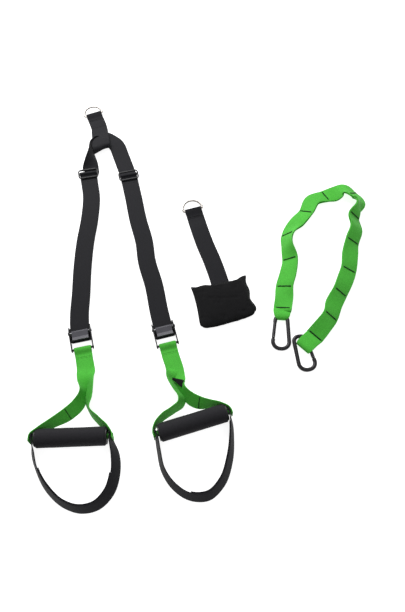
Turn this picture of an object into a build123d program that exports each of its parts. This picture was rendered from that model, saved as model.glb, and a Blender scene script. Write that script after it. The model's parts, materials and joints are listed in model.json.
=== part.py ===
from build123d import *
import os

# Suspension trainer kit, laid out flat: main trainer with two adjustable legs, an extension
# strap with two carabiners, and a door anchor. Millimetres, +X right, +Y towards the anchor
# rings, +Z up, floor at z = 0, origin on the floor under the middle of the kit.

# ---- webbing ----
WEBBING = 38.0  # strap width
PLY = 1.8  # strap thickness
GAP = 0.1  # space between plies that slide on each other
SLING_WEBBING = 35.0  # width of the curled green slings
CRADLE_WEBBING = 25.0  # width of the foot cradle strap, which stands on edge
UNDER_PLATE = PLY + GAP  # height of the underside of the cam buckle's floor plate

# ---- D-rings ----
RING_WIRE = 2.25  # wire radius
RING_HALF = 21.4  # half width to the wire's centre line
RING_RISE = 25.5  # bar to top of the arc, centre lines
RING_CORNER = 2.4

# ---- main anchor loop and the saddle of strap that runs through it ----
RING_EYE_NECK = 14.0  # from the bar to where the two plies meet
LOOP_END = 114.0  # from the bar to the centre of the open loop's round end
LOOP_ROUND = 9.0
LOOP_MOUTH = 45.0  # where the plies part to form the open loop
LOOP_VEER = 13.3  # degrees that the open loop is pulled aside by the legs
SADDLE_WIDTH = 24.0  # the strap is gathered where it runs through the loop
SADDLE = ((-58.0, -112.0), (-34.0, -91.0), (6.0, -84.0), (27.0, -107.0))  # from leg to leg

# ---- cam buckle, measured from its lower bar up the strap ----
BAR_RADIUS = 2.5
BAR_HEIGHT = 4.5
CHEEK_INSIDE = 20.0  # half the clear width between the two cheeks
CHEEK = 2.0  # cheek plate thickness
PLATE = 1.5  # floor plate thickness
PLATE_START = 18.5
BUCKLE_TOP = 50.0
CAM_PIVOT = (34.0, 11.0)  # along the buckle, and height
CAM_HALF = 16.0
CAM_RADIUS = 4.6
CAM_TOOTH = 0.6
LEVER = ((34.0, 15.6), (23.0, 15.2), (16.0, 17.0), (15.4, 14.8), (22.6, 12.6), (34.0, 9.0))
CHEEK_CORNERS = ((34.0, 11.0, 5.5), (46.0, 6.0, 4.0), (20.5, 3.5, 2.5))  # along, height, radius
PIN_HEAD = 3.4
PIN_HEAD_HEIGHT = 1.6
PIN_RADIUS = 2.0
RUNNING = 0.05  # radial clearance of a part that turns on a pin

# ---- tri-glide slider ----
GLIDE_LENGTH = 46.0
GLIDE_WIDTH = 26.0
GLIDE_CORNER = 8.0
GLIDE_PLATE = 3.0
GLIDE_SLOT = (39.6, 7.4)
GLIDE_SLOT_CORNER = 1.0
GLIDE_SLOT_MIDDLE = 5.9
GLIDE_HEIGHT = 7.5
GLIDE_EYE = 2.5  # radius of the tail's fold round the centre bar
GLIDE_FLAP = (-11.0, 28.0)  # middle and length of the tail's doubled flap below the slider
GLIDE_EDGE = 0.6

# ---- handle ----
GRIP_HALF = 63.5
GRIP_RADIUS = 17.5
TUBE_RADIUS = 14.0
TUBE_BORE = 12.5
CORE_RADIUS = 6.0  # rolled webbing inside the tube
CAP_FLANGE = 2.5
CAP_SPIGOT = 8.0
SLING_EYE_NECK = 14.0  # from the buckle's bar to where the sling's two plies meet
NECK_TURN = 35.0  # from the buckle's bar to where the neck turns towards the split
SLING_END = 70.0  # from the grip's middle to the sling's two ends
CRADLE_END = 76.0  # from the grip's middle to the cradle strap's ends
CORE_HALF = 78.5
FOAM_EDGE = 1.5
LABEL = (22.0, 26.0, 0.6)  # the blank sewn tab's width, length and thickness
CRADLE_TILT = 2.0  # the cradle's foot rests on the floor, below the handle

# ---- carabiner ----
ROD = 4.0
ROD_HEIGHT = 6.0
GATE_ROD = 3.4
GATE_PIN = 1.2
TONGUE = 2.6  # flat end of the rod inside the gate's fork

# ---- extension strap ----
END_NECK_A = 24.0
END_NECK_B = 40.0
EYE_WIDTH_A = 14.0  # bunched inside the carabiner's narrow end
EYE_WIDTH_B = 30.0
EYE_SLACK_A = 7.0
EYE_SLACK_B = 22.0
EXTENSION_BEND = 21.0
TACKS = 13
TACK = (1.8, 33.0, 0.6)  # a stitched bar's width, length and height
TACK_MARGIN = 0.012  # share of the strap left clear before the first and after the last bar

# ---- door anchor pad ----
PAD_WIDTH = 120.0
PAD_LENGTH = 97.0
PAD_THICK = 22.0
PAD_COVER = 1.5
PAD_CORNER = 12.0  # rounding of the pad's four corners
PAD_EDGE = 9.0  # rounding of its rim

# ---- layout grid: the middle of the laid-out kit, which becomes the origin ----
MIDDLE_X = -1.8
MIDDLE_Y = -3.76

os.makedirs("parts", exist_ok=True)


def on_grid(x, y):
    """A layout grid point in the kit's own x and y."""
    return x - MIDDLE_X, y - MIDDLE_Y


def spot(x, y, turn=0.0, z=0.0):
    """A frame over the layout grid point (x, y), turned about +Z by `turn` degrees."""
    return Plane(origin=(*on_grid(x, y), z)).rotated((0, 0, turn))


def within(frame, plane):
    """The plane `plane`, read in the axes of `frame`."""
    return Plane(frame.location * plane.location)


def place(frame, x, y):
    """The kit's x and y of a point given in a frame's own x and y."""
    point = frame.from_local_coords(Vector(x, y, 0))
    return point.X, point.Y


def keep(piece, name):
    piece.label = name
    export_step(piece, f"parts/{name}.step")


def webbing_eye(frame, axis_height, hole, slack, neck, low, width):
    """Folded webbing round a bar along the frame's x axis: a round end, then two closed plies.

    The hole runs `slack` down the strap (-y), the plies meet at `neck` and lie at height `low`.
    """
    side = within(frame, Plane.YZ)
    with BuildPart() as eye:
        with BuildSketch(side):
            with Locations((0, axis_height), (-slack, axis_height)):
                Circle(hole + PLY)
            with Locations((-neck, low + PLY)):
                Rectangle(GAP, 2 * PLY)
            make_hull()
        extrude(amount=width / 2, both=True)
        with BuildSketch(side):
            with Locations((0, axis_height), (-slack, axis_height)):
                Circle(hole)
            with Locations((-neck + 2 * PLY, low + PLY)):
                Circle(GAP)
            make_hull()
        extrude(amount=width / 2, both=True, mode=Mode.SUBTRACT)
    return eye.part


def d_ring(frame):
    """Closed wire ring with a straight bar along the frame's x axis and its arc towards +y."""
    with BuildSketch(frame) as outline:
        with BuildLine():
            bar = Line((-RING_HALF, 0), (RING_HALF, 0))
            ThreePointArc(bar @ 1, (0, RING_RISE), bar @ 0)
        make_face()
        fillet(outline.vertices(), RING_CORNER)
    rim = outline.sketch.face().outer_wire()
    with BuildPart() as ring:
        with BuildSketch(Plane(origin=rim @ 0, z_dir=rim % 0)):
            Circle(RING_WIRE)
        sweep(path=rim)
    return ring.part


# ==== main anchor ====
ring_height = RING_WIRE + GAP + PLY
anchor = spot(-287.8, 450.8, 22.0)

anchor_ring = d_ring(anchor.offset(ring_height))
keep(anchor_ring, "anchor_ring")

ring_eye = webbing_eye(anchor, ring_height, RING_WIRE + GAP, 0, RING_EYE_NECK, 0, WEBBING - 1)
mouth = within(anchor, Plane((0, -LOOP_MOUTH, 0)).rotated((0, 0, -LOOP_VEER)))
loop_frame = within(mouth, Plane((0, LOOP_MOUTH - LOOP_END, 0)).rotated((0, 0, 180)))
open_loop = webbing_eye(
    loop_frame, LOOP_ROUND, LOOP_ROUND - PLY, 0, LOOP_END - LOOP_MOUTH, 0, WEBBING
)
with BuildPart() as anchor_loop:
    add(ring_eye)
    add(open_loop)
    with BuildSketch(within(anchor, Plane((0, -(RING_EYE_NECK + LOOP_MOUTH) / 2, 0)))):
        Rectangle(WEBBING, LOOP_MOUTH - RING_EYE_NECK)
        with Locations((0, (RING_EYE_NECK - LOOP_MOUTH) / 2)):
            Circle(WEBBING / 2 - 4)
    extrude(amount=2 * PLY)
keep(anchor_loop.part, "anchor_loop")

with BuildPart() as strap_saddle:
    with BuildSketch(anchor.offset(PLY + GAP)):
        with BuildLine():
            Polyline(SADDLE)
        trace(line_width=SADDLE_WIDTH)
        with Locations(SADDLE[0], SADDLE[-1]):
            Circle(SADDLE_WIDTH / 2)
    extrude(amount=PLY)
keep(strap_saddle.part, "strap_saddle")


# ==== one leg of the trainer: straps, slider, buckle, sling, handle and cradle ====
def strap_and_tail(side, swing, glide, buckle):
    """The main strap from the swing axis round the buckle's floor plate, and its returning tail."""
    bend = place(buckle, 0, BUCKLE_TOP + 10)
    turn_back = place(buckle, 0, PLATE_START)
    with BuildPart() as main_strap:
        with BuildSketch():
            with BuildLine():
                Polyline(swing, place(glide, 0, 0), bend, turn_back)
            trace(line_width=WEBBING)
            with Locations(swing):
                Circle(WEBBING / 2)
        extrude(amount=PLY)
    keep(main_strap.part, f"{side}_main_strap")

    tail_height = UNDER_PLATE + PLATE + GAP
    plate_middle = UNDER_PLATE + PLATE / 2
    with BuildPart() as tail_strap:
        with BuildSketch(within(glide, Plane.YZ)):
            with Locations((GLIDE_FLAP[0], UNDER_PLATE + PLY)):
                Rectangle(GLIDE_FLAP[1], 2 * PLY)
            with Locations((0, GLIDE_HEIGHT)):
                Circle(GLIDE_EYE + PLY)
                Circle(GLIDE_EYE, mode=Mode.SUBTRACT)
        extrude(amount=WEBBING / 2, both=True)
        with BuildSketch(Plane.XY.offset(tail_height)):
            with BuildLine():
                Polyline(turn_back, bend, place(glide, 0, GLIDE_FLAP[0] - GLIDE_FLAP[1] / 2 + 1))
            trace(line_width=WEBBING)
        extrude(amount=PLY)
        with BuildSketch(within(buckle, Plane.YZ)):
            with Locations((PLATE_START, plate_middle)):
                Circle(plate_middle)
                Circle(plate_middle - PLY, mode=Mode.SUBTRACT)
            with Locations((PLATE_START + plate_middle, plate_middle)):
                Rectangle(2 * plate_middle, 2 * plate_middle, mode=Mode.SUBTRACT)
        extrude(amount=WEBBING / 2, both=True)
    keep(tail_strap.part, f"{side}_tail_strap")


def tri_glide(side, glide):
    """Slider plate with two slots either side of a round centre bar."""
    with BuildPart() as slider:
        with BuildSketch(glide.offset(GLIDE_HEIGHT - GLIDE_PLATE / 2)):
            RectangleRounded(GLIDE_LENGTH, GLIDE_WIDTH, GLIDE_CORNER)
            with GridLocations(0, 2 * GLIDE_SLOT_MIDDLE, 1, 2):
                RectangleRounded(*GLIDE_SLOT, GLIDE_SLOT_CORNER, mode=Mode.SUBTRACT)
        extrude(amount=GLIDE_PLATE)
        fillet(slider.edges().filter_by(Axis.Z, reverse=True), GLIDE_EDGE)
    keep(slider.part, f"{side}_slider")


def cam_buckle(side, buckle):
    """Pressed frame, lower bar, toothed cam lever, its pin and its torsion spring."""
    profile = within(buckle, Plane.YZ)
    along, height = CAM_PIVOT
    cheek_middle = CHEEK_INSIDE + CHEEK / 2
    with BuildPart() as frame:
        for direction in (-1, 1):
            with BuildSketch(profile.offset(direction * cheek_middle)):
                with Locations((0, BAR_HEIGHT)):
                    Circle(BAR_HEIGHT - GAP)
                for corner_along, corner_height, radius in CHEEK_CORNERS:
                    with Locations((corner_along, corner_height)):
                        Circle(radius)
                make_hull()
            extrude(amount=CHEEK / 2, both=True)
        with BuildSketch(profile):
            with Locations(((PLATE_START + BUCKLE_TOP - PLATE) / 2, UNDER_PLATE + PLATE / 2)):
                SlotOverall(BUCKLE_TOP - PLATE_START, PLATE)
        extrude(amount=CHEEK_INSIDE, both=True)
        with BuildSketch(profile):
            with Locations((along, height)):
                Circle(PIN_RADIUS + RUNNING)
            with Locations((0, BAR_HEIGHT)):
                Circle(BAR_RADIUS)
        extrude(amount=CHEEK_INSIDE + 2 * CHEEK, both=True, mode=Mode.SUBTRACT)
    keep(frame.part, f"{side}_buckle_frame")

    with BuildPart() as bar:
        with BuildSketch(profile):
            with Locations((0, BAR_HEIGHT)):
                Circle(BAR_RADIUS)
        extrude(amount=CHEEK_INSIDE + CHEEK + 0.6, both=True)
        chamfer(bar.edges().filter_by(GeomType.CIRCLE), 0.4)
    keep(bar.part, f"{side}_buckle_bar")

    with BuildPart() as pin:
        with BuildSketch(profile):
            with Locations((along, height)):
                Circle(PIN_RADIUS)
        extrude(amount=CHEEK_INSIDE + CHEEK + GAP, both=True)
        for direction in (-1, 1):
            with BuildSketch(profile.offset(direction * (CHEEK_INSIDE + CHEEK + GAP))):
                with Locations((along, height)):
                    Circle(PIN_HEAD)
            extrude(amount=direction * PIN_HEAD_HEIGHT, taper=20)
    keep(pin.part, f"{side}_cam_pin")

    with BuildPart() as cam:
        with BuildSketch(profile):
            with Locations((along, height)):
                Circle(CAM_RADIUS)
                with PolarLocations(CAM_RADIUS, 5, start_angle=225, angular_range=90):
                    RegularPolygon(CAM_TOOTH, 3)
            with BuildLine():
                Polyline(LEVER, close=True)
            make_face()
        extrude(amount=CAM_HALF, both=True)
        with BuildSketch(profile):
            with Locations((along, height)):
                Circle(PIN_RADIUS + RUNNING)
        extrude(amount=CAM_HALF, both=True, mode=Mode.SUBTRACT)
    keep(cam.part, f"{side}_cam_lever")

    coil = within(profile, Plane((along, height, CAM_HALF + 0.7)))
    with BuildPart() as spring:
        with BuildLine() as turns:
            Helix(pitch=1.0, height=2.6, radius=3.0, center=coil.origin, direction=coil.z_dir)
        with BuildSketch(Plane(origin=turns.line @ 0, z_dir=turns.line % 0)):
            Circle(0.35)
        sweep()
    keep(spring.part, f"{side}_cam_spring")


def green_sling(side, buckle, split, handle, branches):
    """Folded eye on the buckle bar, a doubled neck, and two branches that meet in the handle."""
    eye = webbing_eye(buckle, BAR_HEIGHT, BAR_RADIUS + GAP, 0, SLING_EYE_NECK, GAP, SLING_WEBBING)
    neck_turn = place(buckle, 0, -NECK_TURN)
    with BuildPart() as sling:
        add(eye)
        with BuildSketch(Plane.XY.offset(GAP)):
            with BuildLine():
                Polyline(place(buckle, 0, GAP - SLING_EYE_NECK), neck_turn, split)
            trace(line_width=SLING_WEBBING)
        extrude(amount=2 * PLY)
        for points in branches:
            with BuildSketch(Plane.XY.offset(3)):
                with BuildLine():
                    Spline([split] + [place(handle, *point) for point in points])
                trace(line_width=PLY)
            extrude(amount=CRADLE_WEBBING)
        with BuildSketch(within(handle, Plane.YZ).offset(-CORE_HALF)):
            Circle(CORE_RADIUS)
        extrude(amount=2 * CORE_HALF)
    keep(sling.part, f"{side}_sling")


def handle_grip(side, handle):
    """Rigid tube, foam sleeve and a flanged cap in each end that turns on the webbing core."""
    across = within(handle, Plane.YZ)
    with BuildPart() as tube:
        with BuildSketch(across):
            Circle(TUBE_RADIUS)
            Circle(TUBE_BORE, mode=Mode.SUBTRACT)
        extrude(amount=GRIP_HALF, both=True)
    keep(tube.part, f"{side}_grip_tube")

    with BuildPart() as foam:
        with BuildSketch(across):
            Circle(GRIP_RADIUS)
            Circle(TUBE_RADIUS, mode=Mode.SUBTRACT)
        extrude(amount=GRIP_HALF, both=True)
        rims = foam.edges().filter_by(GeomType.CIRCLE).group_by(SortBy.RADIUS)[-1]
        fillet(rims, FOAM_EDGE)
    keep(foam.part, f"{side}_grip_foam")

    with BuildPart() as caps:
        for direction in (-1, 1):
            with BuildSketch(across.offset(direction * GRIP_HALF)):
                Circle(TUBE_RADIUS + 1)
            extrude(amount=direction * CAP_FLANGE)
            with BuildSketch(across.offset(direction * GRIP_HALF)):
                Circle(TUBE_BORE)
            extrude(amount=-direction * CAP_SPIGOT)
        with BuildSketch(across):
            Circle(CORE_RADIUS + RUNNING)
        extrude(amount=GRIP_HALF + CAP_FLANGE, both=True, mode=Mode.SUBTRACT)
    keep(caps.part, f"{side}_grip_caps")


def foot_cradle(side, handle, outline, pad_span):
    """Webbing hoop standing on edge, hung on the handle's core, with a second ply in its foot."""
    tilted = within(handle, Plane.XY.rotated((CRADLE_TILT, 0, 0)))
    floor = tilted.offset(-CRADLE_WEBBING / 2)
    ends = within(tilted, Plane.YZ)
    with BuildPart() as hoop:
        with BuildSketch(floor):
            with BuildLine() as path:
                Line((-CRADLE_END, 8), (-CRADLE_END, 0))
                Spline([(-CRADLE_END, 0), *outline, (CRADLE_END, 0)], tangents=((0, -1), (0, 1)))
                Line((CRADLE_END, 0), (CRADLE_END, 8))
            trace(line_width=PLY)
        extrude(amount=CRADLE_WEBBING)
        with BuildSketch(ends.offset(-CORE_HALF)):
            Circle(CORE_RADIUS + RUNNING)
        extrude(amount=2 * CORE_HALF, mode=Mode.SUBTRACT)
    keep(hoop.part, f"{side}_cradle_strap")

    with BuildPart() as pad:
        with BuildSketch(floor) as ply_outline:
            with BuildLine() as foot:
                hoop_line = Spline(
                    [(-CRADLE_END, 0), *outline, (CRADLE_END, 0)],
                    tangents=((0, -1), (0, 1)),
                    mode=Mode.PRIVATE,
                )
                add(hoop_line.trim(*pad_span))
            trace(line_width=3 * PLY + 2 * GAP)
            trace(lines=hoop_line, line_width=PLY + 2 * GAP, mode=Mode.SUBTRACT)
        inner = ply_outline.sketch.faces().sort_by_distance(tilted.origin)[0]
        extrude(to_extrude=inner, amount=CRADLE_WEBBING)
    keep(pad.part, f"{side}_cradle_ply")


SIDES = {
    "left": {
        "swing": place(anchor, *SADDLE[0]),
        "glide": spot(-285.1, 263.8, 11.0),
        "buckle": spot(-258.8, -175.8, 12.9),
        "split": on_grid(-242.4, -295.8),
        "handle": spot(-261.6, -358.0, 2.2, GRIP_RADIUS),
        "branches": (
            [(-40, 38), (-SLING_END, 17), (-SLING_END, 0)],
            [(50, 34), (SLING_END - 1, 17), (SLING_END, 0)],
        ),
        "cradle": [(-54, -66), (0, -121), (52, -122), (82, -60)],
        "ply": (0.22, 0.68),
    },
    "right": {
        "swing": place(anchor, *SADDLE[-1]),
        "glide": spot(-192.0, 258.5, 13.2),
        "buckle": spot(-91.1, -166.6, 15.2),
        "split": on_grid(-55.8, -289.9),
        "handle": spot(-39.6, -330.6, 17.6, GRIP_RADIUS),
        "branches": (
            [(-40, 32), (-SLING_END, 17), (-SLING_END, 0)],
            [(40, 30), (SLING_END - 1, 17), (SLING_END, 0)],
        ),
        "cradle": [(-78, -66), (-46, -124), (0, -132), (50, -76)],
        "ply": (0.35, 0.85),
    },
}

for side, at in SIDES.items():
    strap_and_tail(side, at["swing"], at["glide"], at["buckle"])
    tri_glide(side, at["glide"])
    cam_buckle(side, at["buckle"])
    green_sling(side, at["buckle"], at["split"], at["handle"], at["branches"])
    handle_grip(side, at["handle"])
    foot_cradle(side, at["handle"], at["cradle"], at["ply"])

# Blank sewn tab at the top of the right sling's split.
with BuildPart() as sling_label:
    with BuildSketch(spot(-62.0, -268.0, 16.0, GAP + 2 * PLY)):
        Rectangle(*LABEL[:2])
    extrude(amount=LABEL[2])
keep(sling_label.part, "right_sling_label")


# ==== extension strap with two carabiners ====
def carabiner(name, middle):
    """Offset-D rod on the plane `middle`: straight spine at x = 0, gate on the slanted side."""
    narrow, wide = Vector(23.5, 8), Vector(34.5, -63)
    slope = (wide - narrow).normalized()
    nose, hinge = narrow + slope * 14, narrow + slope * 48
    opening = within(middle, Plane(origin=nose, z_dir=slope))
    span = (hinge - nose).length
    with BuildSketch(middle) as outline:
        with BuildLine():
            Polyline((0, 8), (0, -66), wide, narrow, close=True)
        make_face()
        fillet(outline.vertices().sort_by(Axis.Y)[:2], 15)
        fillet(outline.vertices().sort_by(Axis.Y)[-2:], 11)
    rim = outline.sketch.face().outer_wire()

    with BuildPart() as body:
        with BuildSketch(Plane(origin=rim @ 0, z_dir=rim % 0)):
            Circle(ROD)
        sweep(path=rim)
        with BuildSketch(opening):
            Circle(2 * ROD)
        extrude(amount=span + ROD, mode=Mode.SUBTRACT)
        with BuildSketch(middle):
            with Locations(hinge, hinge + slope * 2 * ROD):
                Circle(2.6)
            make_hull()
        extrude(amount=TONGUE / 2, both=True)
        with BuildSketch(middle):
            with Locations(hinge):
                Circle(GATE_PIN)
        extrude(amount=ROD, both=True, mode=Mode.SUBTRACT)
    keep(body.part, f"carabiner_{name}")

    with BuildPart() as gate:
        with BuildSketch(opening.offset(0.4)):
            Circle(GATE_ROD)
        extrude(amount=span - 0.4)
        with Locations(within(middle, Plane(origin=hinge))):
            Sphere(GATE_ROD)
        with BuildSketch(middle):
            with Locations(hinge):
                Circle(ROD + 1)
        extrude(amount=TONGUE / 2 + GAP, both=True, mode=Mode.SUBTRACT)
        with BuildSketch(middle):
            with Locations(hinge):
                Circle(GATE_PIN + RUNNING)
        extrude(amount=ROD, both=True, mode=Mode.SUBTRACT)
    keep(gate.part, f"gate_{name}")

    with BuildPart() as pin:
        with BuildSketch(middle):
            with Locations(hinge):
                Circle(GATE_PIN)
        extrude(amount=GATE_ROD, both=True)
    keep(pin.part, f"gate_pin_{name}")


def extension_line(end_a, end_b, back):
    """Middle line of the extension strap, starting `back` beyond each end's folded neck."""
    turns = [(149, -34), (166, 36), (166, 105), (206, 156), (262, 206), (320, 212), (314, 148),
             (286, 10), (238, -104)]
    middle = [on_grid(x, y) for x, y in turns]
    return [place(end_a, 0, -END_NECK_A - back), *middle, place(end_b, 0, -END_NECK_B - back)]


end_a = spot(138.5, -107.0, 176.0)
end_b = spot(179.3, -172.3, 135.0)

carabiner("a", within(spot(150.0, -112.0, 0, ROD_HEIGHT), Plane.XY.rotated((0, 180, 0))))
carabiner("b", spot(159.5, -159.0, 7.0, ROD_HEIGHT))

with BuildPart() as extension_back:
    with BuildSketch():
        with BuildLine():
            FilletPolyline(extension_line(end_a, end_b, 6), radius=EXTENSION_BEND)
        trace(line_width=WEBBING)
    extrude(amount=PLY)
keep(extension_back.part, "extension_back_ply")

eye_a = webbing_eye(end_a, ROD_HEIGHT, ROD + GAP, EYE_SLACK_A, END_NECK_A, 0, EYE_WIDTH_A)
eye_b = webbing_eye(end_b, ROD_HEIGHT, ROD + GAP, EYE_SLACK_B, END_NECK_B, 0, EYE_WIDTH_B)
with BuildPart() as extension_front:
    add(eye_a)
    add(eye_b)
    with BuildSketch(Plane.XY.offset(PLY + GAP)):
        with BuildLine() as front_line:
            FilletPolyline(extension_line(end_a, end_b, -1), radius=EXTENSION_BEND)
        trace(line_width=WEBBING)
    extrude(amount=PLY)
keep(extension_front.part, "extension_front_ply")

with BuildPart() as bar_tacks:
    step = (1 - 2 * TACK_MARGIN) / (TACKS - 1)
    stitches = [
        Plane(origin=front_line.line @ u, x_dir=front_line.line % u, z_dir=(0, 0, 1))
        for u in [TACK_MARGIN + step * n for n in range(TACKS)]
    ]
    with BuildSketch(*[stitch.offset(2 * PLY + GAP) for stitch in stitches]):
        Rectangle(*TACK[:2])
    extrude(amount=TACK[2])
keep(bar_tacks.part, "extension_bar_tacks")


# ==== door anchor ====
door = spot(-43.0, 163.0, 17.1)
pad = spot(21.1, -72.4, 15.0)
seam = (6.3, PAD_LENGTH / 2 + 5)  # on the pad's axes, the line that the pad folds about

keep(d_ring(door.offset(ring_height)), "door_ring")

door_eye = webbing_eye(door, ring_height, RING_WIRE + GAP, 0, RING_EYE_NECK, 0, WEBBING - 1)
with BuildPart() as door_strap:
    add(door_eye)
    with BuildSketch():
        with BuildLine():
            Polyline(place(door, 0, GAP - RING_EYE_NECK), place(pad, *seam))
        trace(line_width=WEBBING)
    extrude(amount=2 * PLY)
    with BuildSketch(within(pad, Plane.YZ.offset(seam[0]))):
        with Locations((seam[1], PLY)):
            Circle(PLY)
    extrude(amount=WEBBING / 2, both=True)
keep(door_strap.part, "door_strap")

with BuildPart() as pad_foam:
    with BuildSketch(pad.offset(PAD_COVER)):
        RectangleRounded(PAD_WIDTH - 2 * PAD_COVER, PAD_LENGTH - 2 * PAD_COVER, PAD_CORNER - 1)
    extrude(amount=PAD_THICK - 2 * PAD_COVER)
    fillet(pad_foam.edges().filter_by(Axis.Z, reverse=True), PAD_EDGE - 1)
keep(pad_foam.part, "pad_foam")

with BuildPart() as pad_cover:
    with BuildSketch(pad):
        RectangleRounded(PAD_WIDTH, PAD_LENGTH, PAD_CORNER)
    extrude(amount=PAD_THICK)
    fillet(pad_cover.edges().filter_by(Axis.Z, reverse=True), PAD_EDGE)
    with BuildSketch(pad.offset(GAP)):
        with Locations((seam[0], PAD_LENGTH / 2 - 3)):
            Rectangle(WEBBING, 11)
    extrude(amount=2 * PLY - 2 * GAP)
    add(pad_foam.part, mode=Mode.SUBTRACT)
keep(pad_cover.part, "pad_cover")
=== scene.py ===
import json
import math

import bmesh
import bpy
import numpy as np
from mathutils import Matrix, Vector, noise


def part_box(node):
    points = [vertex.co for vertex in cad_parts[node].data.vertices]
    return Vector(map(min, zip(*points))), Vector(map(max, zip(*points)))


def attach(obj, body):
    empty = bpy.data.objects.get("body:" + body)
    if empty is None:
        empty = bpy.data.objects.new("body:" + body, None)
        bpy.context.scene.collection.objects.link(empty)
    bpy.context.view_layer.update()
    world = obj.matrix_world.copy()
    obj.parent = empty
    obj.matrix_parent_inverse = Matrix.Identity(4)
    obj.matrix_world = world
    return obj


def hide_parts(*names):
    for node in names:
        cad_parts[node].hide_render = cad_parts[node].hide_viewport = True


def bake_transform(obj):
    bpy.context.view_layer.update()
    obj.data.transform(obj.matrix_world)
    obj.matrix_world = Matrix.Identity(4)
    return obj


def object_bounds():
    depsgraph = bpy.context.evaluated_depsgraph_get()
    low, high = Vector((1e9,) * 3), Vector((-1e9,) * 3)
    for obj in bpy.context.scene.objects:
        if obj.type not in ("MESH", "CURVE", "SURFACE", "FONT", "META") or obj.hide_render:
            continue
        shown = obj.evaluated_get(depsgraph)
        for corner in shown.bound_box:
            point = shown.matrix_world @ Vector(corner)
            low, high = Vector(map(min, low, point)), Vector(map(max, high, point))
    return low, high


# Looks for a suspension trainer kit laid flat. Lengths are millimetres until a mesh is made.
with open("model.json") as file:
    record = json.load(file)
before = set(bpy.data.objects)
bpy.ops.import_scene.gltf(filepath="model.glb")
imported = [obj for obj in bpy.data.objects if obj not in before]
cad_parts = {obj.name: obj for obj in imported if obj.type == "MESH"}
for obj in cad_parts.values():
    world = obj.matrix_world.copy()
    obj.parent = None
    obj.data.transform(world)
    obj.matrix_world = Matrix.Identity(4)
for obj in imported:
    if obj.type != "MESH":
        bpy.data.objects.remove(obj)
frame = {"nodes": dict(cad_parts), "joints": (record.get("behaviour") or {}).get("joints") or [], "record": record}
cad_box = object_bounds()

MM = 0.001
UP = Vector((0, 0, 1))

WEBBING = 38.0
PLY = 1.8
SLING_WIDTH = 34.0
CRADLE_WIDTH = 25.0
CRADLE_PLIES = 2.1  # between the middles of the cradle's two plies
FLAT = 0.95  # height of the middle of a strap that lies on the floor
FOLD_LOW = 0.92  # the same for the lower ply of a strap folded round a D-ring

# how a strap goes round a bar: radius of its middle line, and its knots in degrees
RING_EYE = 3.25
RING_TURNS = (-60, -20, 20, 60, 90, 115)
RING_STRAP = WEBBING - 1
RING_NECK = 14.0  # from a D-ring's bar to where the plies lie flat
BAR_EYE = 3.5
BAR_TURNS = (-70, -30, 0, 30, 70, 110)
GLIDE_EYE = 3.4
GLIDE_TURNS = (165, 125, 90, 55, 15, -30, -75)
PLATE_TURNS = (-120, -160, 160, 120)


# ==== places, all read from the frame ====
class Place:
    """A spot on the floor with its own x axis. Heights are always above the floor."""

    def __init__(self, origin, x_axis):
        self.origin = Vector((origin[0], origin[1], 0))
        self.height = origin[2]
        self.x = Vector(x_axis).normalized()
        self.y = UP.cross(self.x)

    def at(self, x, y, z):
        return self.origin + self.x * x + self.y * y + UP * z

    def toward(self, x, y, z=0.0):
        return self.x * x + self.y * y + UP * z

    def turned(self, degrees):
        turn = math.radians(degrees)
        return Place((*self.origin.xy, self.height), self.toward(math.cos(turn), math.sin(turn)))


def joint(name):
    return next(j for j in frame["joints"] if j["name"] == name)


def place_of(name, way=1):
    found = joint(name)
    return Place(Vector(found["pos_m"]) / MM, Vector(found["axis"]) * way)


def middle_of(node):
    low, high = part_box(node)
    return (low + high) / 2 / MM


# ==== mesh making ====
def smooth(rows, step, closed=False):
    """A smooth curve through rows of numbers whose first three are a point.

    Returns the samples, about `step` apart, and each row's own place among them.
    """
    rows = np.array(rows, float)
    if closed:
        rows = np.vstack([rows, rows[:1]])
    gaps = np.linalg.norm(np.diff(rows[:, :3], axis=0), axis=1)[:, None]
    slopes = np.diff(rows, axis=0) / gaps
    bends = np.empty_like(rows)
    bends[1:-1] = (slopes[:-1] * gaps[1:] + slopes[1:] * gaps[:-1]) / (gaps[:-1] + gaps[1:])
    bends[0], bends[-1] = slopes[0], slopes[-1]
    if closed:
        bends[0] = (slopes[-1] * gaps[0] + slopes[0] * gaps[-1]) / (gaps[0] + gaps[-1])
        bends[-1] = bends[0]
    parts, marks = [], [0]
    for i, gap in enumerate(gaps[:, 0]):
        count = max(2, round(gap / step))
        t = np.arange(count)[:, None] / count
        start = (2 * t**3 - 3 * t**2 + 1) * rows[i] + (t**3 - 2 * t**2 + t) * gap * bends[i]
        end = (3 * t**2 - 2 * t**3) * rows[i + 1] + (t**3 - t**2) * gap * bends[i + 1]
        parts.append(start + end)
        marks.append(marks[-1] + count)
    if not closed:
        parts.append(rows[-1:])
    return np.vstack(parts), marks


def unit(vectors):
    return vectors / np.linalg.norm(vectors, axis=-1, keepdims=True)


def axes_along(samples, closed=False):
    """Points, across vectors and face normals of a strap's samples."""
    points = samples[:, :3]
    if closed:
        along = np.roll(points, -1, axis=0) - np.roll(points, 1, axis=0)
    else:
        along = np.gradient(points, axis=0)
    along = unit(along)
    across = samples[:, 3:6]
    across = unit(across - (across * along).sum(1, keepdims=True) * along)
    return points, across, np.cross(across, -along)


EDGE_TURNS = [math.radians(a) for a in (45, 90, 135)]
GROOVE = (0.9, 0.86)  # from the selvedge, and what is left of the half thickness there
CROWN = (1.05, 1.08)  # half thickness at a quarter of the width and at the middle


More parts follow.
